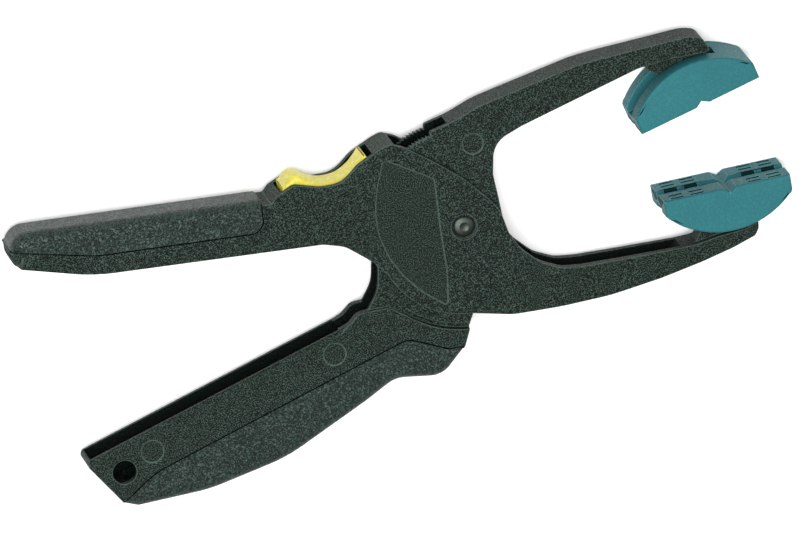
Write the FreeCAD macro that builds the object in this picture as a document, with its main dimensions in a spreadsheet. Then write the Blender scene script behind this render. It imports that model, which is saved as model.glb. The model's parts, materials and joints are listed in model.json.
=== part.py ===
import FreeCAD, Part
import Sketcher
import math
import os

# One-handed spring clamp, lying flat: the pivot runs along Z, the jaws point to +X.
# Every outline is drawn about the pivot's axis, on the clamp's middle plane, in millimetres.
# Once all pieces are made, they are moved together so that the origin is under their middle.

V = FreeCAD.Vector
doc = FreeCAD.newDocument("SpringClamp")

# ---------------------------------------------------------------- driving dimensions
SIZES = [
    ("upperReach", 148.3, "pivot to the end of the upper handle"),
    ("upperTilt", 6.6, "slope of the upper handle, degrees"),
    ("upperDepth", 17.4, "upper handle, underside to top of its grip"),
    ("endRadius", 6.4, "round end of the upper handle"),
    ("lowerReach", 140.3, "pivot to the end of the lower handle"),
    ("lowerTilt", 27.4, "slope of the lower handle, degrees"),
    ("rimDrop", 11.0, "pivot line to the lower handle's open rim"),
    ("frameThick", 16.0, "head and upper handle, front to back"),
    ("jawThick", 11.7, "lower jaw arm at its tip, front to back"),
    ("leverThick", 11.7, "lever inside the head, front to back"),
    ("shellThick", 15.0, "lower handle, front to back"),
    ("sideGap", 0.3, "lever or trigger to the cheek beside it"),
    ("wallThick", 1.9, "walls of the channels"),
    ("floorThick", 2.2, "floors of the channels"),
    ("webThick", 3.0, "outer web of the jaw arms"),
    ("gripSkin", 1.4, "soft grip over the top of the upper handle"),
    ("gripSide", 1.2, "soft grips over the sides of the handles"),
    ("gripBack", 2.0, "soft grip over the back of the lower handle"),
    ("upperJaw", 83.64, "pivot to the upper pad's pin"),
    ("upperJawTurn", 32.24, "direction of the upper pad's pin, degrees"),
    ("lowerJaw", 84.65, "pivot to the lower pad's pin"),
    ("lowerJawTurn", 2.6, "direction of the lower pad's pin, degrees"),
    ("headRadius", 28.2, "round underside of the head"),
    ("toothTip", 31.5, "ratchet teeth, pivot to tips"),
    ("toothDepth", 0.7, "ratchet teeth, tip to root"),
    ("toothPitch", 2.2, "one ratchet step, degrees"),
    ("toothCount", 20, "ratchet teeth"),
    ("pawlTurn", 140.0, "direction of the pawl's nose from the pivot, degrees"),
    ("pawlLift", 0.15, "pawl's nose over the tooth tips at rest"),
    ("pawlWide", 9.0, "pawl, front to back"),
    ("hubClear", 1.2, "tooth tips to the cavity's wall"),
    ("shellRound", 33.3, "pivot to the lower handle's round top edge"),
    ("slotWide", 7.7, "slots in the lever's hub, neck and arm, front to back"),
    ("slotTurn", 100.0, "direction of the hub slot's end in the arm, degrees"),
    ("armSlotWide", 8.0, "slot under the lower jaw arm, front to back"),
    ("rivetRadius", 2.5, "pivot rivet's shank"),
    ("rivetHead", 3.3, "pivot rivet's head, radius"),
    ("headHigh", 1.0, "pivot rivet's head, thickness"),
    ("boreDeep", 1.1, "counterbore for the rivet's head"),
    ("boreRadius", 4.1, "counterbore's radius"),
    ("grooveDeep", 1.6, "groove between the lever's neck and the lower handle's shell"),
    ("washerThick", 0.5, "washer under the rivet's formed end"),
    ("bushRadius", 4.0, "pivot bush, outside"),
    ("runClear", 0.05, "radial clearance of the running fits"),
    ("bossRadius", 7.0, "lever's boss round the bush"),
    ("triggerPinX", -35.0, "trigger pin, along X from the pivot"),
    ("triggerPinY", 13.6, "trigger pin, along Y from the pivot"),
    ("triggerPinR", 1.25, "trigger pin's radius"),
    ("socketDeep", 1.1, "trigger pin into each cheek"),
    ("padLong", 41.0, "pad's clamping face, along the jaw"),
    ("padWide", 22.0, "pad, front to back"),
    ("padHigh", 14.2, "pad, face to top of its round back"),
    ("padEnd", 5.2, "flat end of the pad"),
    ("padPinHigh", 7.5, "pad's face to its pin"),
    ("padPinR", 1.5, "pad pin's radius"),
    ("padPinInto", 3.0, "pad pin into each half of the pad"),
    ("padFloor", 3.8, "pad's face to the floor of its slot"),
    ("padSlotEnd", 11.5, "pad's middle to the closed end of its slot"),
    ("pocketDeep", 1.9, "small pockets in the pads' faces"),
    ("earThick", 7.6, "ear inside the pad's slot, front to back"),
    ("earRadius", 3.4, "ear round the pad's pin"),
    ("upperPadTurn", 25.4, "slope of the upper pad's face, degrees"),
    ("lowerPadTurn", 11.25, "slope of the lower pad's face, degrees"),
    ("hangHole", 3.8, "hanging hole's radius"),
    ("markDeep", 0.25, "round mould marks"),
    ("panelDeep", 0.45, "recessed panel on the head"),
    ("springWire", 0.6, "main spring, radius of its wire"),
    ("springCoil", 8.5, "main spring, mean radius of its coils"),
    ("springTurns", 3.0, "main spring, turns"),
    ("returnWire", 0.3, "trigger spring, radius of its wire"),
    ("returnCoil", 2.2, "trigger spring, mean radius of its coils"),
    ("returnTurns", 5.0, "trigger spring, turns"),
    ("returnHigh", 5.6, "trigger spring, foot to top"),
    ("restX", 0.0, "pivot's place in the finished frame, X"),
    ("restY", 0.0, "pivot's place in the finished frame, Y"),
    ("restZ", 0.0, "middle plane's height in the finished frame"),
]

sheet = doc.addObject("Spreadsheet::Sheet", "Sizes")
for row, (alias, value, note) in enumerate(SIZES, start=1):
    sheet.set("A%d" % row, alias)
    sheet.set("B%d" % row, str(value))
    sheet.set("C%d" % row, note)
    sheet.setAlias("B%d" % row, alias)
doc.recompute()


def size(alias):
    return float(getattr(sheet, alias))


# ---------------------------------------------------------------- places
def polar(radius, degrees, centre=(0.0, 0.0)):
    turn = math.radians(degrees)
    return (centre[0] + radius * math.cos(turn), centre[1] + radius * math.sin(turn))


def onUpper(along, above, *radius):
    """a point of the upper handle: along it from the pivot, and above its centre line"""
    turn = math.radians(size("upperTilt"))
    x = -along * math.cos(turn) - above * math.sin(turn)
    y = -along * math.sin(turn) + above * math.cos(turn)
    return (x, y) + radius


def onLower(along, below, *radius):
    """a point of the lower handle: along it from the pivot, and out from the pivot line"""
    turn = math.radians(size("lowerTilt"))
    x = -along * math.cos(turn) + below * math.sin(turn)
    y = -along * math.sin(turn) - below * math.cos(turn)
    return (x, y) + radius


def upperPin():
    return polar(size("upperJaw"), size("upperJawTurn"))


def lowerPin():
    return polar(size("lowerJaw"), size("lowerJawTurn"))


def near(place, dx, dy, *radius):
    return (place[0] + dx, place[1] + dy) + radius


def onPad(along, high, flip, *radius):
    """a point of a pad, from its pin: along its face, and out from its face"""
    return (along, flip * (high - size("padPinHigh"))) + radius


# ---------------------------------------------------------------- lines shared by two pieces
def endUpper(first, last, skin=0.0):
    """round end of the upper handle, between two directions from square to the handle"""
    radius = size("endRadius")
    reach = size("upperReach")
    centre = onUpper(reach - 11.1, size("upperDepth") - radius)
    across = 90.0 + size("upperTilt")
    return About(centre, radius - skin, across + first, across + last)


def seamUpper():
    """edge of the upper grip on the handle's sides, from the handle's end to the head"""
    reach = size("upperReach")
    return [endUpper(0.0, 80.0).end(), onUpper(reach - 31.5, 7.2, 30.0), onUpper(63.3, 7.2, 4.0)]


def coreUpper():
    """end and top of the upper handle's hard frame, with the step its grip ends at"""
    skin = size("gripSkin")
    top = size("upperDepth") - skin
    return [endUpper(120.0, 80.0), endUpper(80.0, 0.0, skin), onUpper(60.2, top)]


def backLower(skin, end, head):
    """back of the lower handle, from its end to its hump by the head, under a skin"""
    reach = size("lowerReach")
    waist = [(reach - 32.3, 38.0, 50.0), (82.0, 40.6, 50.0), (52.0, 36.4, 40.0)]
    points = [onLower(reach - 9.8 - skin / 3.0, 31.6 - skin, end)]
    points += [onLower(along, below - skin, radius) for along, below, radius in waist]
    return points + [onLower(40.5, 34.2 - skin, 9.0), onLower(26.6, 40.9 - skin, head)]


def coreLower():
    """back of the lower handle's hard frame, with the steps its grip ends at"""
    reach = size("lowerReach")
    step = size("gripBack")
    back = backLower(step, 2.0, 6.0)
    return [onLower(reach - 6.2, 28.2), onLower(reach - 6.2 - step, 27.8)] + back + \
           [onLower(19.0, 34.2), onLower(17.3, 35.6)]


def seamLower():
    """edge of the lower grip on the handle's sides, from the head to the handle's end"""
    reach = size("lowerReach")
    return [onLower(17.3, 35.6), onLower(17.9, 34.6), onLower(21.5, 33.4, 3.0),
            onLower(31.5, 24.2, 7.0), onLower(reach - 19.3, 24.2, 30.0), onLower(reach - 6.2, 28.2)]


# ---------------------------------------------------------------- outlines
class About:
    """a stretch of outline that runs round a centre, from one direction to another"""

    def __init__(self, centre, radius, first, last):
        self.centre, self.radius, self.first, self.last = centre, radius, first, last

    def start(self):
        return polar(self.radius, self.first, self.centre)

    def end(self):
        return polar(self.radius, self.last, self.centre)

    def edge(self):
        middle = polar(self.radius, (self.first + self.last) / 2.0, self.centre)
        return Part.Arc(V(*self.start(), 0), V(*middle, 0), V(*self.end(), 0))


def entry(item):
    return item.start() if isinstance(item, About) else item[:2]


def leaving(item):
    return item.end() if isinstance(item, About) else item[:2]


def roundCorner(before, corner, after, radius):
    """the arc that rounds a corner, tangent to both of its sides"""
    corner = V(*corner, 0)
    back = (V(*before, 0) - corner).normalize()
    ahead = (V(*after, 0) - corner).normalize()
    half = back.getAngle(ahead) / 2.0
    length = radius / math.tan(half)
    bisector = (back + ahead).normalize()
    middle = corner + bisector * (radius / math.sin(half) - radius)
    return Part.Arc(corner + back * length, middle, corner + ahead * length)


def outline(items):
    """edges of a closed outline: (x, y) is a sharp corner, (x, y, r) a rounded one, or an About"""
    curves = []
    count = len(items)
    for i, item in enumerate(items):
        if isinstance(item, About):
            curves.append(item.edge())
        elif len(item) == 3 and item[2] > 0:
            before = leaving(items[i - 1])
            after = entry(items[(i + 1) % count])
            curves.append(roundCorner(before, item[:2], after, item[2]))
        else:
            curves.append(V(*item[:2], 0))
    edges = []
    for i, curve in enumerate(curves):
        following = curves[(i + 1) % count]
        if not isinstance(curve, V):
            edges.append(curve)
        first = curve if isinstance(curve, V) else curve.EndPoint
        second = following if isinstance(following, V) else following.StartPoint
        if first.distanceToPoint(second) > 1e-6:
            edges.append(Part.LineSegment(first, second))
    return edges


# ---------------------------------------------------------------- features
def newBody(label):
    body = doc.addObject("PartDesign::Body", label)
    body.Label = label
    return body


def newSketch(body, name, plane="XY_Plane", lift=None):
    """an empty sketch on one of the body's own planes, raised from it by an expression"""
    sketch = body.newObject("Sketcher::SketchObject", name)
    support = [p for p in body.Origin.OriginFeatures if p.Role == plane][0]
    sketch.AttachmentSupport = [(support, "")]
    sketch.MapMode = "FlatFace"
    if lift:
        sketch.setExpression("AttachmentOffset.Base.z", lift)
    return sketch


def addOutline(sketch, items):
    for edge in outline(items):
        sketch.addGeometry(edge, False)


def addCircle(sketch, centre, radius):
    """a circle with its place held and its radius bound to an expression"""
    index = sketch.addGeometry(Part.Circle(V(*centre, 0), V(0, 0, 1), 1.0), False)
    sketch.addConstraint(Sketcher.Constraint("DistanceX", -1, 1, index, 3, centre[0]))
    sketch.addConstraint(Sketcher.Constraint("DistanceY", -1, 1, index, 3, centre[1]))
    hold = sketch.addConstraint(Sketcher.Constraint("Radius", index, 1.0))
    sketch.setExpression("Constraints[%d]" % hold, radius)


def both(body, kind, name, sketch, thickness):
    """a pad or a pocket that is the same on both sides of the middle plane"""
    feature = body.newObject("PartDesign::" + kind, name)
    feature.Profile = sketch
    feature.SideType = "Symmetric"
    feature.setExpression("Length", thickness)
    return feature


def addPad(body, name, items, thickness):
    sketch = newSketch(body, name + "Line")
    addOutline(sketch, items)
    return both(body, "Pad", name, sketch, thickness)


def cut(body, name, items, thickness):
    sketch = newSketch(body, name + "Line")
    addOutline(sketch, items)
    return both(body, "Pocket", name, sketch, thickness)


def cutRound(body, name, centre, radius, thickness):
    sketch = newSketch(body, name + "Line")
    addCircle(sketch, centre, radius)
    return both(body, "Pocket", name, sketch, thickness)


def sink(body, name, sketch, depth, back=False):
    """a pocket that goes down from its sketch, or up from it on the back"""
    feature = body.newObject("PartDesign::Pocket", name)
    feature.Profile = sketch
    feature.Reversed = back
    feature.setExpression("Length", depth)
    return feature


def mirrorThick(body, features):
    """the same features again on the back, mirrored through the middle plane"""
    mirror = body.newObject("PartDesign::Mirrored", features[0].Name + "Back")
    mirror.Originals = features
    plane = [p for p in body.Origin.OriginFeatures if p.Role == "XY_Plane"][0]
    mirror.MirrorPlane = (plane, [""])
    body.Tip = mirror
    return mirror


def sinkSides(body, name, outlines, face, depth):
    """shallow pockets in both sides of a body, down from its faces"""
    sketch = newSketch(body, name + "Line", lift=face)
    for items in outlines:
        addOutline(sketch, items)
    return mirrorThick(body, [sink(body, name, sketch, depth)])


def pinBody(label, centre, radius, length):
    body = newBody(label)
    sketch = newSketch(body, "Round")
    addCircle(sketch, centre, radius)
    both(body, "Pad", "Pin", sketch, length)
    return body


def ringBody(label, outer, inner, top, thick):
    """a flat ring about the pivot, down from its top face"""
    body = newBody(label)
    sketch = newSketch(body, "Ring", lift=top)
    addCircle(sketch, (0.0, 0.0), outer)
    addCircle(sketch, (0.0, 0.0), inner)
    pad = body.newObject("PartDesign::Pad", "Wall")
    pad.Profile = sketch
    pad.Reversed = True
    pad.setExpression("Length", thick)
    return body


# ---------------------------------------------------------------- main frame
def frameOutline():
    reach = size("upperReach")
    trigger = [(-60.0, 11.4), (-58.0, 12.7), (-54.6, 14.9, 3.0), (-50.4, 14.4, 8.0), (-45.9, 13.9, 12.0),
               (-40.0, 14.9, 8.0), (-37.2, 17.5, 8.0), (-34.6, 20.7, 6.0)]
    head = [(-31.0, 23.3, 3.0), (-27.6, 25.7, 6.0), (-24.6, 27.3, 2.0), (-20.4, 26.4, 6.0), (-10.8, 21.7, 30.0),
            (-0.4, 15.6, 30.0), (7.4, 9.2, 20.0), (11.0, 5.5, 5.0), (12.7, 1.9, 5.0),
            (14.3, -2.2, 6.0), (18.5, -7.6, 12.0), (25.0, -12.3, 9.0), (32.0, -14.3, 9.0)]
    jaw = [(38.5, -13.9, 20.0), (52.0, -11.9), (70.0, -9.0), (74.8, -8.0, 6.0), (82.0, -5.6, 6.0),
           (89.9, -3.6, 8.0), (94.7, -1.4), (94.8, -3.4, 1.0), (93.9, -5.7, 2.0)]
    under = [(87.0, -9.4, 30.0), (77.3, -13.6, 40.0), (64.3, -18.5, 60.0), (48.2, -23.5, 70.0),
             (32.0, -26.7, 80.0), (16.5, -28.8, 20.0)]
    hump = [(-28.5, -10.8, 2.0), (-31.4, -9.1), (-37.9, -5.4, 8.0), onUpper(45.0, 0.6, 6.0)]
    handle = [onUpper(reach - 30.3, 0.9, 60.0), onUpper(reach - 6.3, 6.4, 3.0)]
    chin = About((0.0, 0.0), size("headRadius"), 276.7, 211.5)
    return coreUpper() + trigger + head + jaw + under + [chin] + hump + handle


def frameCavity():
    """space between the cheeks: round the lever's hub, and the trigger's well beside it"""
    wall = size("toothTip") + size("hubClear")
    floor = 6.0
    meets = 180.0 + size("upperTilt") - math.degrees(math.asin(floor / wall))
    pivot = (0.0, 0.0)
    shoulder = About(pivot, 35.3, 131.0, 142.5)
    well = [(-29.2, 22.6), (-32.0, 30.0), (-58.3, 30.0), onUpper(58.6, floor, 1.5)]
    hub = About(pivot, wall, meets, 206.0)
    mouth = [(-40.0, -32.0), (16.5, -32.0), (16.5, -25.5), (24.0, -24.4), (24.0, 24.0), (0.0, 40.0)]
    return [shoulder] + well + [hub] + mouth


def panelOutline():
    return [(-26.4, 22.4, 1.5), (-28.1, 13.4, 30.0), (-28.5, 6.0, 30.0), (-27.4, -1.5, 20.0),
            (-23.7, -9.4, 20.0), (-18.4, -16.0, 20.0), (-12.2, -21.0, 20.0), (-4.4, -25.5, 0.8),
            (-5.0, -14.1, 40.0), (-7.7, 0.2, 60.0), (-10.0, 15.8, 1.5)]


def mainFrame():
    body = newBody("main_frame")
    addPad(body, "Blank", frameOutline(), "Sizes.frameThick")
    taper = newSketch(body, "TaperLine", "XZ_Plane")
    slope = (size("frameThick") - size("jawThick")) / 2.0 / 77.0
    half = size("frameThick") / 2.0
    addOutline(taper, [(20.0, half), (110.0, half - 90.0 * slope), (110.0, half + 2.0), (20.0, half + 2.0)])
    mirrorThick(body, [both(body, "Pocket", "Taper", taper, "2 * Sizes.upperReach")])
    x, y = lowerPin()
    ear = [(71.0, -10.5), (75.2, -7.6, 2.0), About((x, y), size("earRadius"), 165.0, -12.0),
           (90.2, -3.8, 1.5), (90.0, -7.0)]
    addPad(body, "Ear", ear, "Sizes.earThick")
    cut(body, "Cavity", frameCavity(), "Sizes.leverThick + 2 * Sizes.sideGap")
    channel = [(23.0, -24.5), (32.0, -23.2, 60.0), (48.0, -20.0, 60.0), (64.5, -15.0, 4.0),
               (70.5, -8.5), (70.5, 0.0), (23.0, 0.0)]
    cut(body, "JawChannel", channel, "Sizes.armSlotWide")
    reach = size("upperReach")
    top = size("upperDepth") - size("gripSkin") - size("floorThick")
    hollow = [onUpper(66.0, -5.0), onUpper(66.0, top, 2.0), onUpper(reach - 6.3, top, 2.0),
              onUpper(reach - 14.3, 0.0), onUpper(reach - 17.2, -5.0)]
    cut(body, "HandleChannel", hollow, "Sizes.frameThick - 2 * Sizes.gripSide - 2 * Sizes.wallThick")
    above = [onUpper(63.3, 25.0), onUpper(reach + 5.0, 25.0), onUpper(reach + 5.0, 12.0)]
    face = "Sizes.frameThick / 2"
    sinkSides(body, "GripSeat", [seamUpper() + above], face, "Sizes.gripSide")
    sinkSides(body, "Panel", [panelOutline()], face, "Sizes.panelDeep")
    cutRound(body, "PinSocket", (size("triggerPinX"), size("triggerPinY")), "Sizes.triggerPinR",
             "Sizes.leverThick + 2 * Sizes.sideGap + 2 * Sizes.socketDeep")
    cutRound(body, "RivetHole", (0.0, 0.0), "Sizes.rivetRadius", "Sizes.frameThick * 2")
    bore = newSketch(body, "CounterboreLine", lift=face)
    addCircle(bore, (0.0, 0.0), "Sizes.boreRadius")
    mirrorThick(body, [sink(body, "Counterbore", bore, "Sizes.boreDeep")])
    cutRound(body, "PadPinHole", lowerPin(), "Sizes.padPinR", "Sizes.frameThick * 2")
    return body


# ---------------------------------------------------------------- lever
def toothLine():
    """sawtooth edge of the hub, steep on the side that faces the trigger's pin"""
    pitch = size("toothPitch")
    tip = size("toothTip")
    root = tip - size("toothDepth")
    engaged = size("pawlTurn") + 0.2
    last = engaged + 7 * pitch
    points = []
    for i in range(int(size("toothCount"))):
        drop = last - i * pitch
        points += [polar(root, drop), polar(tip, drop - 0.12)]
    return points + [polar(root, last - int(size("toothCount")) * pitch)]


def leverOutline():
    """upper jaw arm, hub and neck, all of the lever's thin part"""
    root = size("toothTip") - size("toothDepth")
    tip = upperPin()
    arm = [(-11.4, 30.4, 1.0), (-4.0, 33.6, 20.0), (4.0, 38.4, 30.0), (36.0, 51.2, 60.0),
           near(tip, -0.7, 14.6, 12.0), near(tip, 3.9, 14.2, 3.0), near(tip, 6.8, 9.7, 0.8)]
    inside = [near(tip, -6.1, 7.4, 3.0), near(tip, -16.0, 4.7, 6.0), (17.9, 31.6, 4.0), (9.1, 26.4, 8.0),
              (9.2, 16.1, 6.0), (11.0, 9.3, 6.0), (13.2, 0.0, 13.0), (11.0, -9.0, 12.0), (5.0, -24.0, 12.0)]
    neck = [(3.9, -29.4), (2.9, -32.6), (1.5, -38.4), onLower(19.0, 33.0), onLower(44.0, 20.0),
            onLower(49.0, 12.6), (-30.6, -28.6, 12.0), (-26.6, -20.5, 12.0), (-26.7, -13.2, 3.0)]
    hub = About((0.0, 0.0), root - 0.1, 197.0, 158.0)
    return arm + inside + neck + [hub] + toothLine()


def shellOutline():
    """lower handle's hard shell, under its grip"""
    reach = size("lowerReach")
    drop = size("rimDrop")
    rim = [About((0.0, 0.0), size("shellRound"), 275.0, 238.0), onLower(32.3, drop + 1.2, 5.0),
           onLower(37.0, drop - 0.4, 4.0), onLower(41.8, drop - 1.7, 4.0), onLower(46.2, drop + 0.2, 6.0),
           onLower(reach - 0.9, drop - 0.3, 1.8)]
    return rim + coreLower() + [onLower(16.5, 35.2)]


def leverFrame():
    body = newBody("lever_frame")
    addPad(body, "Shell", shellOutline(), "Sizes.shellThick")
    addPad(body, "Arm", leverOutline(), "Sizes.leverThick")
    tip = upperPin()
    ear = [near(tip, -13.7, 6.4), near(tip, -13.3, 3.8, 1.0), near(tip, -7.7, 1.2, 5.0),
           About(tip, size("earRadius"), 205.0, 345.0), near(tip, 5.9, 8.0, 2.0), near(tip, 5.9, 10.9)]
    addPad(body, "Ear", ear, "Sizes.earThick")
    arm = [(14.0, 24.0), (15.5, 38.6, 5.0), (37.0, 48.0, 60.0), near(tip, -16.7, 7.7, 2.0),
           near(tip, -14.7, 1.4)]
    cut(body, "ArmChannel", arm, "Sizes.slotWide")
    pivot = (0.0, 0.0)
    boss = size("bossRadius") + 1.0
    clear = size("toothTip") + 6.0
    turn = size("slotTurn")
    sector = [About(pivot, boss, turn, 205.0), About(pivot, clear, 205.0, turn)]
    cut(body, "HubSlot", sector, "Sizes.slotWide")
    neck = [polar(20.0, 204.0), (-21.8, -16.0, 6.0), (-22.6, -23.0, 6.0), onLower(38.0, 19.0, 3.0),
            onLower(50.0, 19.0), onLower(50.0, 2.0), polar(clear + 5.0, 204.0)]
    cut(body, "NeckSlot", neck, "Sizes.slotWide")
    ring = newSketch(body, "SpringSeatLine")
    addCircle(ring, pivot, "Sizes.springCoil + 1.5")
    addCircle(ring, pivot, "Sizes.bossRadius")
    both(body, "Pocket", "SpringSeat", ring, "Sizes.slotWide")
    groove = size("shellRound")
    sinkSides(body, "Groove", [[About(pivot, groove, 237.0, 274.6), About(pivot, groove - 1.5, 274.6, 237.0)]],
              "Sizes.leverThick / 2", "Sizes.grooveDeep")
    reach = size("lowerReach")
    wide = [onLower(49.5, 4.0), onLower(49.5, 22.6, 2.0), onLower(reach - 7.0, 22.6, 2.0),
            onLower(reach - 0.7, 4.0)]
    cut(body, "Channel", wide, "Sizes.shellThick - 2 * Sizes.wallThick")
    deep = [onLower(50.5, 10.0), onLower(50.5, 31.6, 3.0), onLower(82.0, 36.4, 60.0),
            onLower(reach - 32.3, 33.6, 50.0), onLower(reach - 14.0, 28.8, 2.0), onLower(reach - 8.0, 20.0),
            onLower(reach - 8.0, 10.0)]
    cut(body, "DeepChannel", deep, "Sizes.shellThick - 2 * Sizes.gripSide - 2 * Sizes.wallThick")
    outside = [onLower(reach + 4.0, 32.0), onLower(reach - 10.0, 46.0), onLower(20.0, 46.0)]
    face = "Sizes.shellThick / 2"
    sinkSides(body, "GripSeat", [seamLower() + outside], face, "Sizes.gripSide")
    hole = newSketch(body, "HangHoleLine", lift=face)
    addCircle(hole, onLower(reach - 10.8, 19.3), "Sizes.hangHole")
    sink(body, "HangHole", hole, "Sizes.wallThick")
    marks = newSketch(body, "MarksLine", lift=face)
    addCircle(marks, onLower(reach - 21.5, 17.5), "Sizes.hangHole - 0.2")
    addCircle(marks, onLower(54.2, 17.3), "Sizes.hangHole - 0.2")
    mirrorThick(body, [sink(body, "Marks", marks, "Sizes.markDeep")])
    mark = newSketch(body, "ArmMarkLine", lift="Sizes.leverThick / 2")
    addCircle(mark, (2.4, 26.3), "Sizes.hangHole - 0.45")
    mirrorThick(body, [sink(body, "ArmMark", mark, "Sizes.markDeep")])
    cutRound(body, "Bore", pivot, "Sizes.bushRadius + Sizes.runClear", "Sizes.frameThick * 2")
    cutRound(body, "PadPinHole", upperPin(), "Sizes.padPinR", "Sizes.frameThick * 2")
    return body


# ---------------------------------------------------------------- grips
def upperGrip():
    body = newBody("upper_grip")
    reach = size("upperReach")
    top = size("upperDepth")
    addPad(body, "Skin", seamUpper() + [onUpper(63.3, top), endUpper(0.0, 80.0)], "Sizes.frameThick")
    core = coreUpper() + [onUpper(60.2, -4.0), onUpper(reach - 7.9, -4.0)]
    cut(body, "Core", core, "Sizes.frameThick - 2 * Sizes.gripSide")
    return body


def lowerGrip():
    body = newBody("lower_grip")
    addPad(body, "Skin", seamLower() + backLower(0.0, 3.0, 8.0), "Sizes.shellThick")
    core = coreLower() + [onLower(16.5, 20.0), onLower(size("lowerReach") - 6.2, 20.0)]
    cut(body, "Core", core, "Sizes.shellThick - 2 * Sizes.gripSide")
    return body


# ---------------------------------------------------------------- pivot
def pivotRivet():
    body = newBody("pivot_rivet")
    profile = newSketch(body, "Profile", "XZ_Plane")
    face = size("frameThick") / 2.0
    seat = face - size("boreDeep")
    shank = size("rivetRadius")
    head = size("rivetHead")
    top = seat + size("headHigh")
    low = seat + size("washerThick")
    addOutline(profile, [(0.0, -low - 0.8), (head - 0.5, -low - 0.8, 0.4), (head - 0.1, -low),
                         (shank, -low), (shank, seat), (head, seat), (head, top - 0.1, 0.3),
                         (head - 0.9, top + 0.1), (0.0, top + 0.1)])
    turned = body.newObject("PartDesign::Revolution", "Turned")
    turned.Profile = profile
    turned.ReferenceAxis = (profile, ["V_Axis"])
    turned.Angle = 360.0
    return body


# ---------------------------------------------------------------- trigger and pawl
def pawlOutline():
    """steel tongue: its nose over the teeth, its root inside the trigger"""
    lift = size("toothTip") + size("pawlLift")
    turn = size("pawlTurn")
    x = size("triggerPinX")
    y = size("triggerPinY")
    return [polar(lift, turn), polar(lift + 0.95, turn + 2.2), (x + 4.6, y + 3.0), (x - 1.2, y + 2.2),
            (x - 0.8, y + 3.5), (x + 4.4, y + 4.6), polar(lift + 1.6, turn - 0.3)]


def releaseTrigger():
    body = newBody("release_trigger")
    x = size("triggerPinX")
    y = size("triggerPinY")
    top = [(-57.8, 13.2, 1.0), (-54.4, 18.2, 3.0), (-49.6, 15.7, 6.0), (-45.0, 14.4, 8.0),
           (-39.4, 15.4, 10.0), (-35.6, 18.8, 10.0), (-31.9, 23.6, 0.6), (-31.0, 22.6, 0.4)]
    under = [(x + 3.7, y + 1.0, 1.5), (x + 1.5, y - 3.4, 2.0), (x - 3.2, y - 3.8, 2.0),
             (-44.0, 7.6, 4.0), (-56.6, 7.6, 1.0)]
    addPad(body, "Blank", top + under, "Sizes.leverThick")
    cut(body, "PawlSeat", pawlOutline(), "Sizes.pawlWide")
    cutRound(body, "PinHole", (x, y), "Sizes.triggerPinR + Sizes.runClear", "Sizes.frameThick * 2")
    return body


def ratchetPawl():
    body = newBody("ratchet_pawl")
    addPad(body, "Tongue", pawlOutline(), "Sizes.pawlWide")
    return body


# ---------------------------------------------------------------- jaw pads
def jawPad(label, flip):
    """a jaw pad about its own pin; flip turns it over for the other jaw"""
    body = newBody(label)
    half = size("padLong") / 2.0
    rise = size("padHigh") - size("padEnd")
    radius = (half * half + rise * rise) / (2.0 * rise)
    crown = size("padHigh") - size("padPinHigh")
    centre = (0.0, flip * (crown - radius))
    edge = math.degrees(math.asin(half / radius))
    back = About(centre, radius, flip * 90.0 - flip * edge, flip * 90.0 + flip * edge)
    addPad(body, "Blank", [onPad(-half, 0.0, flip), onPad(half, 0.0, flip), back], "Sizes.padWide")
    floor = size("padFloor")
    slot = [onPad(-half - 4.0, floor, flip), onPad(size("padSlotEnd"), floor, flip, 2.0),
            onPad(size("padSlotEnd"), 20.0, flip), onPad(-half - 4.0, 20.0, flip)]
    cut(body, "EarSlot", slot, "Sizes.earThick + 2 * Sizes.sideGap")
    cutRound(body, "PinSocket", (0.0, 0.0), "Sizes.padPinR + Sizes.runClear",
             "Sizes.earThick + 2 * Sizes.sideGap + 2 * (Sizes.padPinInto + 0.2)")
    cross = [onPad(-2.2, -0.5, flip), onPad(0.8, 1.4, flip), onPad(3.8, -0.5, flip)]
    cut(body, "CrossGroove", cross, "Sizes.padWide + 2")
    along = newSketch(body, "LongGrooveLine", "YZ_Plane")
    low = onPad(0.0, -0.5, flip)[1]
    deep = onPad(0.0, 1.6, flip)[1]
    addOutline(along, [(low, -2.9), (deep, 0.0), (low, 2.9)])
    both(body, "Pocket", "LongGroove", along, "Sizes.padLong + 2")
    slots = newSketch(body, "FaceSlotsLine", "XZ_Plane", "%d * Sizes.padPinHigh" % flip)
    for middle in (-15.8, -9.3, 9.3, 15.8):
        for row, wide in ((-8.9, 1.3), (-5.7, 1.3), (0.0, 4.4), (5.7, 1.3), (8.9, 1.3)):
            left, right = middle - 2.15, middle + 2.15
            low, high = row - wide / 2.0, row + wide / 2.0
            addOutline(slots, [(left, low), (right, low), (right, high), (left, high)])
    sink(body, "FaceSlots", slots, "Sizes.pocketDeep", back=flip < 0)
    return body


# ---------------------------------------------------------------- springs
def wireCoil(radius, wire, pitch, turns):
    """a round wire wound about Z, up from the origin, starting at +X"""
    spine = Part.makeHelix(pitch, pitch * turns, radius)
    ring = Part.Wire(Part.Circle(V(radius, 0, 0), V(0, 1, 0), wire).toShape())
    return Part.Wire(spine).makePipeShell([ring], True, True)


def wireLeg(start, end, wire):
    reach = end - start
    leg = Part.makeCylinder(wire, reach.Length, start, reach)
    return leg.fuse(Part.makeSphere(wire, start)).fuse(Part.makeSphere(wire, end))


def codeShape(label, shape):
    feature = doc.addObject("Part::Feature", label)
    feature.Label = label
    feature.Shape = shape
    return feature


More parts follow.
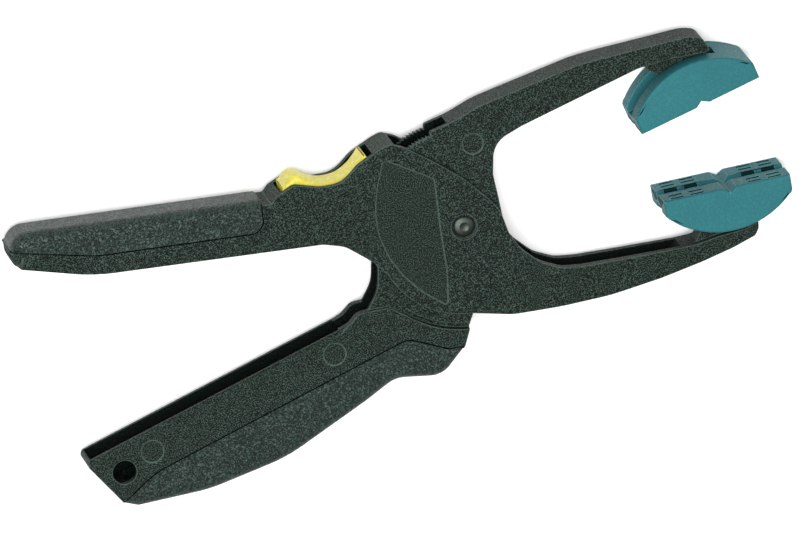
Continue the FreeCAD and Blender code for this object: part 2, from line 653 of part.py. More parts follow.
def mainSpring():
    """torsion spring round the lever's boss, one leg on the lever's web, one on the frame's wall"""
    coil = size("springCoil")
    wire = size("springWire")
    pitch = 2.0 * wire + 0.1
    far = size("toothTip") + size("hubClear") - wire - 0.05
    near = 26.0
    frameTurn = 195.0
    leverTurn = size("slotTurn") + math.degrees(math.asin(wire / near)) + 0.3
    last = frameTurn - math.degrees(math.acos(coil / far))
    first = leverTurn + math.degrees(math.acos(coil / near))
    turns = size("springTurns") + (last - first) / 360.0
    low = -pitch * turns / 2.0
    shape = wireCoil(coil, wire, pitch, turns)
    shape.rotate(V(0, 0, 0), V(0, 0, 1), first)
    shape.translate(V(0, 0, low))
    lower = wireLeg(V(*polar(coil, first), low), V(*polar(near, leverTurn), low), wire)
    upper = wireLeg(V(*polar(coil, last), -low), V(*polar(far, frameTurn), -low), wire)
    return codeShape("main_spring", shape.fuse([lower, upper]))


def triggerSpring():
    """small compression spring between the well's floor and the trigger's underside"""
    wire = size("returnWire")
    foot = V(*onUpper(48.0, 6.0), 0)
    up = V(*onUpper(0.0, 1.0), 0)
    high = size("returnHigh")
    turns = size("returnTurns")
    shape = wireCoil(size("returnCoil"), wire, high / turns, turns)
    stand = FreeCAD.Placement(foot + up * wire, FreeCAD.Rotation(V(0, 0, 1), up))
    return codeShape("trigger_spring", shape.transformGeometry(stand.toMatrix()))


# ---------------------------------------------------------------- assembly
face = "Sizes.frameThick / 2 - Sizes.boreDeep"
cheeks = "Sizes.leverThick + 2 * Sizes.sideGap"
pinLong = "Sizes.earThick + 2 * Sizes.sideGap + 2 * Sizes.padPinInto"
triggerPlace = (size("triggerPinX"), size("triggerPinY"))
settled = [
    mainFrame(), leverFrame(), upperGrip(), lowerGrip(), pivotRivet(),
    ringBody("rivet_washer", "Sizes.boreRadius - 0.2", "Sizes.rivetRadius", "-(" + face + ")", "Sizes.washerThick"),
    ringBody("pivot_bush", "Sizes.bushRadius", "Sizes.rivetRadius", "(" + cheeks + ") / 2", cheeks),
    pinBody("trigger_pin", triggerPlace, "Sizes.triggerPinR", cheeks + " + 2 * Sizes.socketDeep"),
    pinBody("lower_pad_pin", lowerPin(), "Sizes.padPinR", pinLong),
    pinBody("upper_pad_pin", upperPin(), "Sizes.padPinR", pinLong),
    releaseTrigger(), ratchetPawl(), mainSpring(), triggerSpring(),
]
pads = [(jawPad("upper_pad", 1), upperPin(), "upperPadTurn", "upperJaw"),
        (jawPad("lower_pad", -1), lowerPin(), "lowerPadTurn", "lowerJaw")]


def place(piece, base):
    """bind a piece's place to the shift in the sheet"""
    for axis, start in zip("xyz", base):
        cell = "Sizes.rest" + axis.upper()
        piece.setExpression("Placement.Base." + axis, "%s + %s" % (cell, start))


for piece in settled:
    piece.Placement = FreeCAD.Placement(V(0, 0, 0), piece.Placement.Rotation)
    place(piece, ("0", "0", "0"))
for piece, pin, turn, jaw in pads:
    piece.Placement = FreeCAD.Placement(V(0, 0, 0), FreeCAD.Rotation(V(0, 0, 1), size(turn)))
    piece.setExpression("Placement.Rotation.Angle", "Sizes." + turn)
    along = "Sizes.%s * %s(Sizes.%sTurn * 1 deg)"
    place(piece, (along % (jaw, "cos", jaw), along % (jaw, "sin", jaw), "0"))
doc.recompute()

pieces = settled + [pad[0] for pad in pads]
whole = FreeCAD.BoundBox()
for piece in pieces:
    whole.add(piece.Shape.BoundBox)
sheet.set("restX", str(-whole.Center.x))
sheet.set("restY", str(-whole.Center.y))
sheet.set("restZ", str(-whole.ZMin))
doc.recompute()

for item in doc.Objects:
    if "Invalid" in item.State or "Error" in item.State:
        raise RuntimeError("%s did not compute" % item.Label)
os.makedirs("parts", exist_ok=True)
for piece in pieces:
    if piece.Shape.isNull() or not piece.Shape.isValid() or len(piece.Shape.Solids) != 1:
        raise RuntimeError("%s is not one sound solid" % piece.Label)
    piece.Shape.exportStep("parts/%s.step" % piece.Label)
print("pieces written:", len(pieces))
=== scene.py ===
import json
import math
import bmesh
import bpy
from mathutils import Matrix, Vector
from mathutils.bvhtree import BVHTree


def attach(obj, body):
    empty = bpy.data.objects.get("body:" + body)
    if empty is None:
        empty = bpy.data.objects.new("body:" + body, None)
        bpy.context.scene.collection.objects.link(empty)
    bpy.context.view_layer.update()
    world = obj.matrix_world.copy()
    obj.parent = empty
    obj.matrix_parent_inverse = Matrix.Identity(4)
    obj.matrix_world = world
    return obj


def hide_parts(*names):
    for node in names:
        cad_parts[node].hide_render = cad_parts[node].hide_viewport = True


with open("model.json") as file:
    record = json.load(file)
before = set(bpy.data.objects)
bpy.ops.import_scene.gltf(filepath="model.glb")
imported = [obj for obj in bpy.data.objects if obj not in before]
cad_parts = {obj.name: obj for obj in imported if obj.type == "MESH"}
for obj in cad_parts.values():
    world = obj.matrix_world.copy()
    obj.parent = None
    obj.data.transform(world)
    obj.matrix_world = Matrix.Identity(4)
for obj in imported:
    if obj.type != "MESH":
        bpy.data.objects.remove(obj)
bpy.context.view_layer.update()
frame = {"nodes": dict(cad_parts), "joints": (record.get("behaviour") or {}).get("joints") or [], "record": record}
record = frame["record"]
nodes = frame["nodes"]
print("frame loaded:", len(nodes), "nodes")

mm = 0.001


def hinge(name):
    # a hinge's place in the frame, on the clamp's middle plane
    joint = [j for j in frame["joints"] if j["name"] == name][0]
    return Vector(joint["pos_m"])


pivot = hinge("lever_pivot")


def polar(radiusMm, degrees):
    turn = math.radians(degrees)
    return Vector((radiusMm * math.cos(turn), radiusMm * math.sin(turn), 0.0))


# how far each handle slopes from X, in degrees
handleSlope = {"main_frame": 6.6, "lever_frame": 27.4}


def alongHandle(place, node):
    # millimetres along a handle from the pivot, and square to it towards +Y
    out = (place - pivot) / mm
    turn = math.radians(handleSlope[node])
    along = -out.x * math.cos(turn) - out.y * math.sin(turn)
    above = -out.x * math.sin(turn) + out.y * math.cos(turn)
    return along, above


def toLinear(hexColor):
    # sRGB hex to the linear colour that shader sockets take
    channels = [int(hexColor[i:i + 2], 16) / 255 for i in (1, 3, 5)]
    return [c / 12.92 if c <= 0.04045 else ((c + 0.055) / 1.055) ** 2.4 for c in channels] + [1.0]


def addNode(tree, kind, values=None, links=None, **settings):
    # one node, with its settings, its input values and the sockets linked into it
    node = tree.nodes.new(kind)
    for name, value in settings.items():
        setattr(node, name, value)
    for key, value in (values or {}).items():
        node.inputs[key].default_value = value
    for key, socket in (links or {}).items():
        tree.links.new(socket, node.inputs[key])
    return node


def newMaterial(name):
    material = bpy.data.materials.new(name)
    material.use_nodes = True
    material.node_tree.nodes.clear()
    return material, material.node_tree


# Moulded textures. Scales and heights are real millimetres, since the frame is in metres.
# Hard shell: the fine grain breaks up every highlight, so it looks dull, hard and slightly sparkling.
stippledNylon = {
    "dark": "#040806", "light": "#37473f", "rubbed": "#52625a",
    "grainMm": 0.32, "grainHighMm": 0.09, "roughness": 0.55, "sheenLevel": 0.1,
}
# Grips: wider folds with a fuller sheen, so they look like a skin that gives under the hand.
leatherGrainRubber = {
    "dark": "#020504", "light": "#2d3d36", "rubbed": "#323f39",
    "grainMm": 0.75, "grainHighMm": 0.22, "roughness": 0.46, "sheenLevel": 0.24,
}
# Trigger: nearly smooth and a little glossy, so it looks clean and stands out as the thing to press.
yellowAbs = {
    "dark": "#b3a933", "light": "#bdb444", "rubbed": "#cfc76c",
    "grainMm": 1.0, "grainHighMm": 0.01, "roughness": 0.38, "sheenLevel": 0.3,
}
# Pads: smooth with a weak sheen, so they look waxy and softer than the shell.
tealNylon = {
    "dark": "#215a5f", "light": "#246065", "rubbed": "#4f8f95",
    "grainMm": 0.6, "grainHighMm": 0.014, "roughness": 0.5, "sheenLevel": 0.12,
}
# Pins, pawl and springs: fine scuffs spread the highlight, so the metal looks grey, not mirror bright.
zincPlatedSteel = {"base": "#8f9490", "shade": "#5f6560", "brushMm": 0.25, "roughness": 0.36}
# Rivet: the same plate, darker and coarser, so its head looks pressed and handled.
dulledRivetSteel = {"base": "#444b45", "shade": "#2a302c", "brushMm": 0.4, "roughness": 0.42}
# Bush: pale and even, as uncoloured nylon is.
naturalNylon = {
    "dark": "#b8b4a2", "light": "#c9c6b6", "rubbed": "#d8d5c8",
    "grainMm": 1.0, "grainHighMm": 0.01, "roughness": 0.5, "sheenLevel": 0.5,
}
# Shared by every plastic: a slow drift of tone, the patchiness of edge scuffing with its painted highlight, and
# the painted shade of seam grooves and hollows.
plasticTone = {
    "driftPerMetre": 45.0, "driftLow": 0.88, "driftHigh": 1.12, "rubPerMetre": 900.0,
    "seamDark": (0.002, 0.003, 0.003, 1.0), "roughInGrain": 0.1, "roughOnGrain": -0.06,
}


def speckle(tree, place, sizeM):
    # fine grain: clustered light specks on a dark ground, the grain as a spark-eroded mould leaves it; in the
    # colour the light specks are painted highlights on that grain
    fine = addNode(tree, "ShaderNodeTexNoise", {"Scale": 1 / sizeM, "Detail": 1.0, "Roughness": 0.5},
                   {"Vector": place})
    return addNode(tree, "ShaderNodeMapRange", {"From Min": 0.47, "From Max": 0.63},
                   {"Value": fine.outputs["Fac"]}, interpolation_type="SMOOTHSTEP").outputs[0]


def folds(tree, place, sizeM):
    # leather grain: creases run where a warped noise crosses its middle value; in the colour the creases carry
    # painted shade and the islands between them painted highlight
    bend = addNode(tree, "ShaderNodeTexNoise",
                   {"Scale": 1 / sizeM, "Detail": 1.5, "Roughness": 0.55, "Distortion": 0.9},
                   {"Vector": place})
    centred = addNode(tree, "ShaderNodeMath", {1: 0.5}, {0: bend.outputs["Fac"]}, operation="SUBTRACT")
    away = addNode(tree, "ShaderNodeMath", None, {0: centred.outputs[0]}, operation="ABSOLUTE")
    return addNode(tree, "ShaderNodeMapRange", {"From Min": 0.0, "From Max": 0.11},
                   {"Value": away.outputs[0]}, interpolation_type="SMOOTHSTEP").outputs[0]


def mouldedPlastic(name, look, grainOf=speckle):
    # grain as bump and tone, a slow drift of tone, edges lightened as scuffing and painted highlight, seam grooves
    # and hollows darkened with painted shade
    material, tree = newMaterial(name)
    place = addNode(tree, "ShaderNodeTexCoord").outputs["Object"]
    height = grainOf(tree, place, look["grainMm"] * mm)
    # grain tint: partly the plastic's own mottle, partly painted highlight on the raised grain and painted shade
    # in its creases
    tone = addNode(tree, "ShaderNodeMix", {"A": toLinear(look["dark"]), "B": toLinear(look["light"])},
                   {"Factor": height}, data_type="RGBA")
    drift = addNode(tree, "ShaderNodeTexNoise", {"Scale": plasticTone["driftPerMetre"], "Detail": 2.0},
                    {"Vector": place})
    driftShade = addNode(tree, "ShaderNodeMapRange",
                         {"To Min": plasticTone["driftLow"], "To Max": plasticTone["driftHigh"]},
                         {"Value": drift.outputs["Fac"]})
    toned = addNode(tree, "ShaderNodeMix", {"Factor": 1.0},
                    {"A": tone.outputs["Result"], "B": driftShade.outputs[0]},
                    data_type="RGBA", blend_type="MULTIPLY")
    # edges lightened in patches: partly real scuffing, partly a painted highlight where light catches the rounded
    # edges
    edge = addNode(tree, "ShaderNodeAttribute", attribute_name="edgeWear")
    rub = addNode(tree, "ShaderNodeTexNoise", {"Scale": plasticTone["rubPerMetre"], "Detail": 2.0},
                  {"Vector": place})
    wornAndHighlit = addNode(tree, "ShaderNodeMath", None, {0: edge.outputs["Fac"], 1: rub.outputs["Fac"]},
                   operation="MULTIPLY")
    rubbed = addNode(tree, "ShaderNodeMix", {"B": toLinear(look["rubbed"])},
                     {"Factor": wornAndHighlit.outputs[0], "A": toned.outputs["Result"]}, data_type="RGBA")
    # painted shade: seam grooves and the insides of channels, slots and pockets go towards near black and lose
    # their sheen, as little light falls there
    paintedShadeMark = addNode(tree, "ShaderNodeAttribute", attribute_name="seamShade")
    colour = addNode(tree, "ShaderNodeMix", {"B": plasticTone["seamDark"]},
                     {"Factor": paintedShadeMark.outputs["Fac"], "A": rubbed.outputs["Result"]}, data_type="RGBA")
    level = addNode(tree, "ShaderNodeMapRange", {"To Min": look["sheenLevel"], "To Max": 0.0},
                    {"Value": paintedShadeMark.outputs["Fac"]})
    rough = addNode(tree, "ShaderNodeMapRange",
                    {"To Min": look["roughness"] + plasticTone["roughInGrain"],
                     "To Max": look["roughness"] + plasticTone["roughOnGrain"]}, {"Value": height})
    bump = addNode(tree, "ShaderNodeBump", {"Distance": look["grainHighMm"] * mm, "Strength": 1.0},
                   {"Height": height})
    shader = addNode(tree, "ShaderNodeBsdfPrincipled", {"IOR": 1.5},
                     {"Base Color": colour.outputs["Result"], "Roughness": rough.outputs[0],
                      "Specular IOR Level": level.outputs[0], "Normal": bump.outputs[0]})
    addNode(tree, "ShaderNodeOutputMaterial", None, {"Surface": shader.outputs[0]})
    return material


def platedSteel(name, look):
    # soft grey metal with fine directionless scuffs, as zinc plate takes
    material, tree = newMaterial(name)
    place = addNode(tree, "ShaderNodeTexCoord").outputs["Object"]
    scuff = addNode(tree, "ShaderNodeTexNoise", {"Scale": 1 / (look["brushMm"] * mm), "Detail": 4.0},
                    {"Vector": place})
    tone = addNode(tree, "ShaderNodeMix", {"A": toLinear(look["base"]), "B": toLinear(look["shade"])},
                   {"Factor": scuff.outputs["Fac"]}, data_type="RGBA")
    rough = addNode(tree, "ShaderNodeMapRange",
                    {"To Min": look["roughness"] - 0.08, "To Max": look["roughness"] + 0.12},
                    {"Value": scuff.outputs["Fac"]})
    bump = addNode(tree, "ShaderNodeBump", {"Distance": 0.006 * mm}, {"Height": scuff.outputs["Fac"]})
    shader = addNode(tree, "ShaderNodeBsdfPrincipled", {"Metallic": 1.0},
                     {"Base Color": tone.outputs["Result"], "Roughness": rough.outputs[0],
                      "Normal": bump.outputs[0]})
    addNode(tree, "ShaderNodeOutputMaterial", None, {"Surface": shader.outputs[0]})
    return material


finishes = {
    "hard_shell": mouldedPlastic("glass-filled nylon, spark-grained mould", stippledNylon),
    "soft_grip": mouldedPlastic("thermoplastic rubber, leather-grained mould", leatherGrainRubber, folds),
    "trigger": mouldedPlastic("yellow ABS, satin mould", yellowAbs),
    "pads": mouldedPlastic("teal nylon, satin mould", tealNylon),
    "steel": platedSteel("zinc-plated steel", zincPlatedSteel),
    "bush": mouldedPlastic("natural nylon, turned", naturalNylon),
}
slotOf = {s["node"]: s["material_slot"] for s in record["subparts"]}
rivetFinish = platedSteel("zinc-plated steel, dulled by the riveting tool", dulledRivetSteel)
print("materials made:", len(finishes) + 1)


def bodyOf(node):
    return [b for b, members in record["behaviour"]["bodies"].items() if node in members][0]


def adopt(piece, node, finish=None):
    # the piece takes the node's place, moves with its body and wears its finish
    piece.data.materials.clear()
    piece.data.materials.append(finish or finishes[slotOf[node]])
    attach(piece, bodyOf(node))
    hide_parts(node)
    return piece


def surfaceOf(node):
    shape = bmesh.new()
    shape.from_mesh(nodes[node].data)
    tree = BVHTree.FromBMesh(shape)
    shape.free()
    return tree


# edge radii in millimetres: "small" on every hard edge, "outer" on the long outer edges
mouldEdges = {
    "main_frame": {"small": 0.22, "outer": 3.4, "beside": "upper_grip"},
    "lever_frame": {"small": 0.22, "outer": 0.9, "beside": "lower_grip"},
    "upper_grip": {"small": 0.2, "outer": 3.4, "beside": "main_frame"},
    "lower_grip": {"small": 0.2, "outer": 2.6, "beside": "lever_frame"},
    "release_trigger": {"small": 0.35, "outer": 1.7},
    "upper_pad": {"small": 0.15, "outer": 0.8, "asCut": True},
    "lower_pad": {"small": 0.15, "outer": 0.8, "asCut": True},
}
# where the outer edges lie, in millimetres from the pivot or, for a grip, from the piece beside it
outerEdges = {
    "flatNormal": 0.95, "wallNormal": 0.1, "gripClear": 0.9, "padSide": 10.8, "skinSide": 6.0,
    "triggerSide": 5.5, "triggerLow": 13.9, "triggerFrom": -56.9, "triggerTo": -32.8,
    "frameFrom": 141.0, "leverFrom": 50.0, "leverLow": -12.0,
}


def isOuterEdge(node, edge, beside):
    # a flat side on one face and an outside wall on the other, within the piece's own limits
    at = outerEdges
    sides = [abs(f.normal.z) for f in edge.link_faces]
    if min(sides) > at["wallNormal"] or max(sides) < at["flatNormal"]:
        return False
    middle = (edge.verts[0].co + edge.verts[1].co) / 2.0
    if node in ("upper_grip", "lower_grip"):
        return beside.find_nearest(middle)[3] > at["gripClear"] * mm
    if node in ("upper_pad", "lower_pad"):
        return abs(middle.z - pivot.z) > at["padSide"] * mm
    if node == "release_trigger":
        out = (middle - pivot) / mm
        onTop = abs(out.z) > at["triggerSide"] and out.y > at["triggerLow"]
        return onTop and at["triggerFrom"] < out.x < at["triggerTo"]
    if abs(middle.z - pivot.z) < at["skinSide"] * mm:
        return False
    along, above = alongHandle(middle, node)
    if node == "main_frame":
        return along > at["frameFrom"]
    return along > at["leverFrom"] and above > at["leverLow"]


# the pads' faces: the hinge that each swivels on, how far its face is turned and which way it looks
padFaces = {"upper_pad": ("upper_pad_swivel", 25.4, -1), "lower_pad": ("lower_pad_swivel", 11.25, 1)}
# how far the hollows reach beside the middle plane and along X, and the pads' pockets, in millimetres; "shade" is
# how dark their painted shade is
hollows = {
    "frameSide": 6.2, "frameTo": 70.5, "slotSide": 4.0, "slotFrom": -20.0, "channelSide": 5.7,
    "padClear": 16.0, "padPinHigh": 7.5, "pocketFrom": 0.1, "pocketTo": 2.1, "pocketSide": 10.6,
    "wallNormal": 0.1, "floorNormal": 0.97, "shade": 0.82,
}


def isInside(node, face):
    # walls and floors of the channels, slots and pad pockets, where little light gets in
    across = max(abs(v.co.z - pivot.z) for v in face.verts) / mm
    middle = (face.calc_center_median() - pivot) / mm
    if node == "main_frame":
        return across < hollows["frameSide"] and middle.x < hollows["frameTo"]
    if node == "lever_frame":
        deepest = hollows["slotSide"] if middle.x > hollows["slotFrom"] else hollows["channelSide"]
        toPad = (middle - (hinge("upper_pad_swivel") - pivot) / mm).length
        return across < deepest and toPad > hollows["padClear"]
    if node in padFaces:
        joint, turned, side = padFaces[node]
        normal = Vector((-math.sin(math.radians(turned)), math.cos(math.radians(turned)), 0.0)) * side
        faceDepth = hollows["padPinHigh"] - (middle - (hinge(joint) - pivot) / mm).dot(normal)
        inPocket = hollows["pocketFrom"] < faceDepth < hollows["pocketTo"] and across < hollows["pocketSide"]
        lean = abs(face.normal.dot(normal))
        return inPocket and (lean < hollows["wallNormal"] or lean > hollows["floorNormal"])
    return False


def roundOver(shape, edges, radiusMm, segments):
    made = bmesh.ops.bevel(shape, geom=edges, offset=radiusMm * mm, offset_type="OFFSET", segments=segments,
                           profile=0.5, affect="EDGES", clamp_overlap=False, loop_slide=True)
    return made["faces"]


# how every moulded piece's mesh is joined, rounded and shaded
moulding = {
    "mergeMm": 0.003, "flatDegrees": 0.6, "hardDegrees": 32, "sharpDegrees": 50, "seamMm": 0.45,
    "outerSegments": 4, "smallSegments": 2, "flatWeight": 60,
}


def softCopy(node, name, small, outer=0.0, beside=None, asCut=False):
    # the node's own shape with its hard edges rounded over, as a mould leaves them
    mesh = nodes[node].data.copy()
    mesh.name = name
    neighbour = surfaceOf(beside) if beside else None
    shape = bmesh.new()
    shape.from_mesh(mesh)
    bmesh.ops.remove_doubles(shape, verts=shape.verts, dist=moulding["mergeMm"] * mm)
    bmesh.ops.dissolve_degenerate(shape, edges=shape.edges, dist=moulding["mergeMm"] * mm)
    if not asCut:
        bmesh.ops.dissolve_limit(shape, angle_limit=math.radians(moulding["flatDegrees"]), verts=shape.verts,
                                 edges=shape.edges)
    if outer:
        between = [e for e in shape.edges if len(e.link_faces) == 2]
        roundOver(shape, [e for e in between if isOuterEdge(node, e, neighbour)], outer,
                  moulding["outerSegments"])
    shape.normal_update()
    bend = math.radians(moulding["hardDegrees"])
    hard = [e for e in shape.edges if len(e.link_faces) == 2 and e.calc_face_angle() > bend]
    faces = roundOver(shape, hard, small, moulding["smallSegments"])
    # every rounded edge is marked for the lighter edge colour, partly scuffing and partly painted highlight
    wearAndHighlight = shape.loops.layers.float.new("edgeWear")
    paintedShadeMark = shape.loops.layers.float.new("seamShade")
    for face in faces:
        # faces at a seam get painted shade for the groove's shadow instead of the lighter edge colour
        middle = face.calc_center_median()
        atSeam = neighbour is not None and neighbour.find_nearest(middle)[3] < moulding["seamMm"] * mm
        for corner in face.loops:
            corner[wearAndHighlight] = 0.0 if atSeam else 1.0
            corner[paintedShadeMark] = 1.0 if atSeam else 0.0
    # walls and floors of hollows get painted shade, as little light gets in there
    for face in shape.faces:
        if isInside(node, face):
            for corner in face.loops:
                corner[wearAndHighlight] = 0.0
                corner[paintedShadeMark] = hollows["shade"]
    shape.to_mesh(mesh)
    shape.free()
    mesh.polygons.foreach_set("use_smooth", [True] * len(mesh.polygons))
    mesh.set_sharp_from_angle(angle=math.radians(moulding["sharpDegrees"]))
    piece = bpy.data.objects.new(name, mesh)
    bpy.context.scene.collection.objects.link(piece)
    weight = piece.modifiers.new("flat faces stay flat", "WEIGHTED_NORMAL")
    weight.keep_sharp = True
    weight.weight = moulding["flatWeight"]
    return adopt(piece, node)


for node, edges in mouldEdges.items():
    softCopy(node, node.replace("_", "") + "Shape", **edges)
    print("rounded:", node)


# Springs: a coil with a straight leg from each end, wound by one node group
def buildSpringTree():
    tree = bpy.data.node_groups.new("woundSpring", "GeometryNodeTree")
    face = tree.interface
    for name, kind in [("Coil Radius", "NodeSocketFloat"), ("Wire Radius", "NodeSocketFloat"),
                       ("Turns", "NodeSocketFloat"), ("Height", "NodeSocketFloat"),
                       ("Place", "NodeSocketVector"),
                       ("Turned", "NodeSocketRotation"), ("First Leg", "NodeSocketVector"),
                       ("Last Leg", "NodeSocketVector"), ("Last Start", "NodeSocketVector"),
                       ("Finish", "NodeSocketMaterial")]:
        face.new_socket(name, in_out="INPUT", socket_type=kind)
    face.new_socket("Spring", in_out="OUTPUT", socket_type="NodeSocketGeometry")
    given = addNode(tree, "NodeGroupInput").outputs
    coil = addNode(tree, "GeometryNodeCurveSpiral", {"Resolution": 40, "Reverse": True},
                   {"Rotations": given["Turns"], "Start Radius": given["Coil Radius"],
                    "End Radius": given["Coil Radius"], "Height": given["Height"]})
    start = addNode(tree, "ShaderNodeCombineXYZ", None, {"X": given["Coil Radius"]})
    legs = [addNode(tree, "GeometryNodeCurvePrimitiveLine", None, {"Start": a, "End": b})
            for a, b in [(start.outputs[0], given["First Leg"]), (given["Last Start"], given["Last Leg"])]]
    path = addNode(tree, "GeometryNodeJoinGeometry")
    for part in [coil] + legs:
        tree.links.new(part.outputs[0], path.inputs[0])
    ring = addNode(tree, "GeometryNodeCurvePrimitiveCircle", {"Resolution": 14},
                   {"Radius": given["Wire Radius"]})
    wire = addNode(tree, "GeometryNodeCurveToMesh", {"Fill Caps": True},
                   {"Curve": path.outputs[0], "Profile Curve": ring.outputs[0]})
    smooth = addNode(tree, "GeometryNodeSetShadeSmooth", None, {"Geometry": wire.outputs[0]})
    placed = addNode(tree, "GeometryNodeTransform", None,
                     {"Geometry": smooth.outputs[0], "Translation": given["Place"],
                      "Rotation": given["Turned"]})
    real = addNode(tree, "GeometryNodeRealizeInstances", None, {"Geometry": placed.outputs[0]})
    finish = addNode(tree, "GeometryNodeSetMaterial", None,
                     {"Geometry": real.outputs[0], "Material": given["Finish"]})
    addNode(tree, "NodeGroupOutput", None, {"Spring": finish.outputs[0]})
    return tree


springTree = buildSpringTree()
woundSprings = {
    "main_spring": {"coilMm": 8.5, "wireMm": 0.6, "gapMm": 0.1, "fullTurns": 3, "firstLegMm": 26.0,
                    "firstLegTurn": 101.6, "lastLegMm": 32.05, "lastLegTurn": 195.0},
    "trigger_spring": {"coilMm": 2.2, "wireMm": 0.3, "turns": 5.0, "highMm": 5.6, "legMm": 0.4,
                       "alongMm": 48.0, "aboveMm": 6.0},
}


def windSpring(node, name, values):
    # evaluates the node group once and keeps its result as a plain mesh
    carrier = bpy.data.objects.new(name + "Carrier", bpy.data.meshes.new(name + "Carrier"))
    bpy.context.scene.collection.objects.link(carrier)
    modifier = carrier.modifiers.new("spring", "NODES")
    modifier.node_group = springTree
    for item in springTree.interface.items_tree:
        if item.in_out == "INPUT" and item.name in values:
            modifier[item.identifier] = values[item.name]
    carrier.update_tag()
    graph = bpy.context.evaluated_depsgraph_get()
    mesh = bpy.data.meshes.new_from_object(carrier.evaluated_get(graph))
    mesh.name = name
    bpy.data.meshes.remove(carrier.data)
    piece = bpy.data.objects.new(name, mesh)
    bpy.context.scene.collection.objects.link(piece)
    return adopt(piece, node)


def makeMainSpring():
    v = woundSprings["main_spring"]
    first = v["firstLegTurn"] + math.degrees(math.acos(v["coilMm"] / v["firstLegMm"]))
    last = v["lastLegTurn"] - math.degrees(math.acos(v["coilMm"] / v["lastLegMm"]))
    turns = v["fullTurns"] + (last - first) / 360.0
    high = (2 * v["wireMm"] + v["gapMm"]) * turns
    up = Vector((0, 0, high))
    return windSpring("main_spring", "torsionSpring", {
        "Coil Radius": v["coilMm"] * mm, "Wire Radius": v["wireMm"] * mm, "Turns": turns, "Height": high * mm,
        "Place": pivot - up * mm / 2, "Turned": (0.0, 0.0, math.radians(first)),
        "First Leg": polar(v["firstLegMm"], v["firstLegTurn"] - first) * mm,
        "Last Start": (polar(v["coilMm"], last - first) + up) * mm,
        "Last Leg": (polar(v["lastLegMm"], v["lastLegTurn"] - first) + up) * mm,
        "Finish": finishes["steel"]})


def makeTriggerSpring():
    v = woundSprings["trigger_spring"]
    turn = math.radians(handleSlope["main_frame"])
    along = Vector((-math.cos(turn), -math.sin(turn), 0.0))
    up = Vector((-math.sin(turn), math.cos(turn), 0.0))
    start = Vector((v["coilMm"], 0, 0)) * mm
    top = (polar(v["coilMm"], 360.0 * v["turns"]) + Vector((0, 0, v["highMm"]))) * mm
    leg = Vector((0, v["legMm"], 0)) * mm
    stand = Vector((0, 0, 1)).rotation_difference(up).to_euler()
    return windSpring("trigger_spring", "returnSpring", {
        "Coil Radius": v["coilMm"] * mm, "Wire Radius": v["wireMm"] * mm, "Turns": v["turns"],
        "Height": v["highMm"] * mm, "Turned": tuple(stand),
        "Place": pivot + (along * v["alongMm"] + up * (v["aboveMm"] + v["wireMm"])) * mm,
        "First Leg": start + leg, "Last Start": top, "Last Leg": top - leg,
        "Finish": finishes["steel"]})


makeMainSpring()
makeTriggerSpring()
print("springs wound")

# Pivot rivet: a low domed head with a shallow punch ring, turned about the pivot
rivetShape = {
    "headMm": 3.3, "shankMm": 2.5, "seatMm": 6.9, "rimMm": 0.65, "domeMm": 0.35, "crownShare": 0.72,
    "shoulderMm": 0.2, "edgeMm": 0.15, "punchMm": 1.5, "punchWallMm": 0.12, "punchFloorMm": 0.16,
    "washerMm": 0.5, "tailMm": 3.2, "tailRimMm": 0.5, "tailHighMm": 0.8, "tailRoundMm": 0.6,
    "steps": 64, "mergeMm": 0.001, "sharpDegrees": 40,
}


def turnedRivet(name, v):
    # radius and height of each corner, from the middle of the head round to the middle of the tail
    top = v["seatMm"] + v["rimMm"]
    low = -v["seatMm"] - v["washerMm"]
    line = [(0.0, top + v["domeMm"] - v["punchFloorMm"]),
            (v["punchMm"] - v["shoulderMm"], top + v["domeMm"] - v["punchWallMm"]),
            (v["punchMm"], top + v["domeMm"]), (v["headMm"] * v["crownShare"], top + v["shoulderMm"]),
            (v["headMm"] - v["edgeMm"], top), (v["headMm"], top - v["shoulderMm"]),
            (v["headMm"], v["seatMm"]), (v["shankMm"], v["seatMm"]), (v["shankMm"], low), (v["tailMm"], low),
            (v["tailMm"] - v["edgeMm"], low - v["tailRimMm"]),
            (v["tailMm"] - v["tailRoundMm"], low - v["tailHighMm"]), (0.0, low - v["tailHighMm"])]
    shape = bmesh.new()
    points = [shape.verts.new(pivot + Vector((r, 0.0, z)) * mm) for r, z in line]
    edges = [shape.edges.new(pair) for pair in zip(points, points[1:])]
    bmesh.ops.spin(shape, geom=points + edges, cent=pivot, axis=(0, 0, 1), angle=2 * math.pi,
                   steps=v["steps"])
    bmesh.ops.remove_doubles(shape, verts=shape.verts, dist=v["mergeMm"] * mm)
    bmesh.ops.recalc_face_normals(shape, faces=shape.faces)
    mesh = bpy.data.meshes.new(name)
    shape.to_mesh(mesh)
    shape.free()
    mesh.polygons.foreach_set("use_smooth", [True] * len(mesh.polygons))
    mesh.set_sharp_from_angle(angle=math.radians(v["sharpDegrees"]))
    piece = bpy.data.objects.new(name, mesh)
    bpy.context.scene.collection.objects.link(piece)
    return adopt(piece, "pivot_rivet", rivetFinish)


turnedRivet("pivotRivetTurned", rivetShape)
replacedNodes = set(mouldEdges) | set(woundSprings) | {"pivot_rivet"}
for node, thing in nodes.items():
    if node not in replacedNodes:
        thing.data.materials.clear()
        thing.data.materials.append(finishes[slotOf[node]])

# Camera: looks down on the clamp, tipped towards the upper jaw's side and rolled by a 3-4-5 turn
view = {
    "tiltDegrees": 18.97, "rollAlong": 0.8, "rollAside": 0.6, "lens": 850.0, "sensorMm": 36.0,
    "wideMm": 250.0, "aimHighMm": 9.0, "aimLeftMm": 20.3125, "aimLowMm": 12.1875, "clipMetres": 0.01,
}


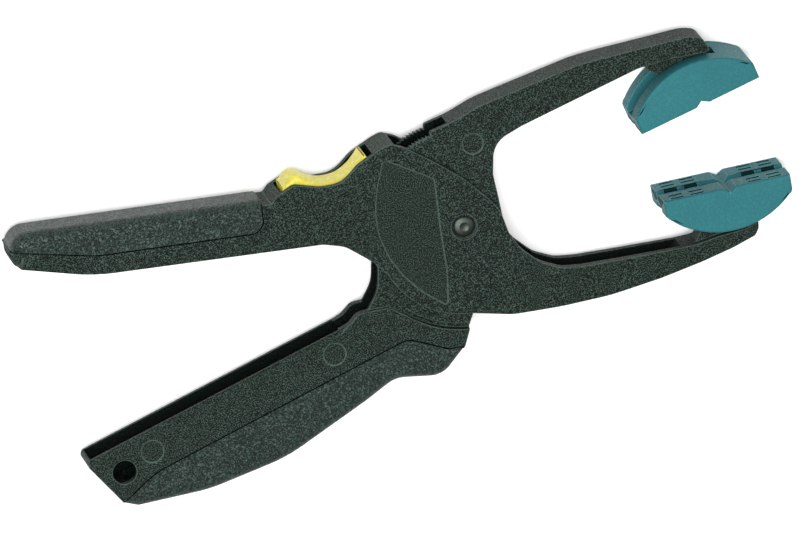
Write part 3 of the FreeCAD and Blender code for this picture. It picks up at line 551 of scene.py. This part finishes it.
def makeCamera():
    tilt = math.radians(view["tiltDegrees"])
    along = view["rollAlong"]
    aside = view["rollAside"]
    across = Vector((along, aside, 0.0))
    down = Vector((aside, -along, 0.0))
    towards = Vector((0.0, 0.0, math.cos(tilt))) - down * math.sin(tilt)
    lower = down * math.cos(tilt) + Vector((0.0, 0.0, math.sin(tilt)))
    right = across * along + lower * aside
    up = across * aside - lower * along
    middle = pivot + Vector((0.0, 0.0, view["aimHighMm"] * mm))
    target = middle - right * (view["aimLeftMm"] * mm) - up * (view["aimLowMm"] * mm)
    distance = view["wideMm"] * mm * view["lens"] / view["sensorMm"]
    lensData = bpy.data.cameras.new("camera")
    lensData.lens = view["lens"]
    lensData.clip_start = view["clipMetres"]
    camera = bpy.data.objects.new("camera", lensData)
    turn = Matrix((right, up, towards)).transposed().to_4x4()
    camera.matrix_world = Matrix.Translation(target + towards * distance) @ turn
    bpy.context.scene.collection.objects.link(camera)
    bpy.context.scene.camera = camera
    return target, right, up


target, right, up = makeCamera()

# Light: one broad key nearly overhead, a weak fill from the jaws' side, and an even white sky
studio = {
    "keyWatts": 19.0, "fillWatts": 3.0, "lampMetres": 0.8, "lampAway": 1.0,
    "skyStrength": 0.3, "floorHex": "#fbfbfa", "floorReach": 3.0,
}


def softLight(name, direction, watts):
    lamp = bpy.data.lights.new(name, "AREA")
    lamp.energy = watts
    lamp.size = studio["lampMetres"]
    light = bpy.data.objects.new(name, lamp)
    light.location = target + direction.normalized() * studio["lampAway"]
    light.rotation_euler = direction.to_track_quat("Z", "Y").to_euler()
    bpy.context.scene.collection.objects.link(light)


softLight("key", Vector((0, 0, 1.0)) - right * 0.25 + up * 0.1, studio["keyWatts"])
softLight("fill", right * 0.9 + up * 0.35 + Vector((0, 0, 0.9)), studio["fillWatts"])
world = bpy.data.worlds.new("studio")
bpy.context.scene.world = world
world.use_nodes = True
world.node_tree.nodes["Background"].inputs["Color"].default_value = (1.0, 1.0, 1.0, 1.0)
world.node_tree.nodes["Background"].inputs["Strength"].default_value = studio["skyStrength"]
bpy.context.scene.view_settings.view_transform = "Standard"


def makeFloor():
    mesh = bpy.data.meshes.new("floor")
    reach = studio["floorReach"]
    corners = [(-reach, -reach, 0), (reach, -reach, 0), (reach, reach, 0), (-reach, reach, 0)]
    mesh.from_pydata(corners, [], [(0, 1, 2, 3)])
    floor = bpy.data.objects.new("floor", mesh)
    bpy.context.scene.collection.objects.link(floor)
    material, tree = newMaterial("matt white board")
    shader = addNode(tree, "ShaderNodeBsdfPrincipled",
                     {"Base Color": toLinear(studio["floorHex"]), "Roughness": 0.9})
    addNode(tree, "ShaderNodeOutputMaterial", None, {"Surface": shader.outputs[0]})
    mesh.materials.append(material)


makeFloor()
print("camera, lights and floor set")
